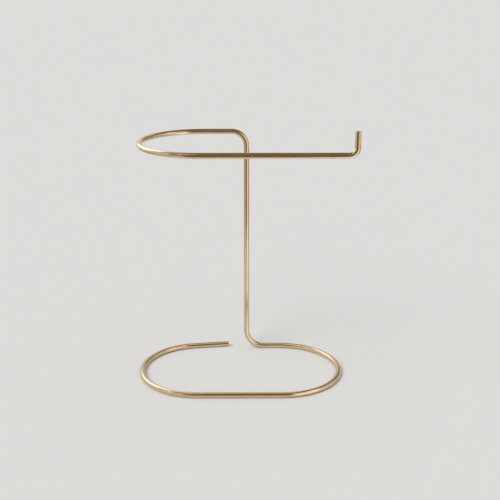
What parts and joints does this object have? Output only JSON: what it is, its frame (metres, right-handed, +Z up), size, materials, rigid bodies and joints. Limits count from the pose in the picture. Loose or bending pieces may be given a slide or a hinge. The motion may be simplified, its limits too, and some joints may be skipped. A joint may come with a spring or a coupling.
{
  "type": "jewelry stand",
  "caption": "Free-standing jewelry stand bent from round gold-plated rod: an open oval base loop, an upright post and a looped top rail whose hanging bar ends in an upturned tip.",
  "frame": {"origin": "on the surface the stand rests on, under the middle of the stand's box", "axes": "+Z up along the post, +X to the right along the hanging bar towards its upturned tip, -Y towards the front, where the hanging bar is"},
  "size_m": [0.227, 0.1368, 0.2795],
  "materials": {
    "gold_rod": "satin champagne-gold plating",
    "stud_steel": "zinc-plated thread"
  },
  "bodies": {
    "root": {"base_loop": "gold_rod", "post": "gold_rod", "top_rail": "gold_rod", "lower_joint_stud": "stud_steel", "upper_joint_stud": "stud_steel"}
  },
  "joints": []
}
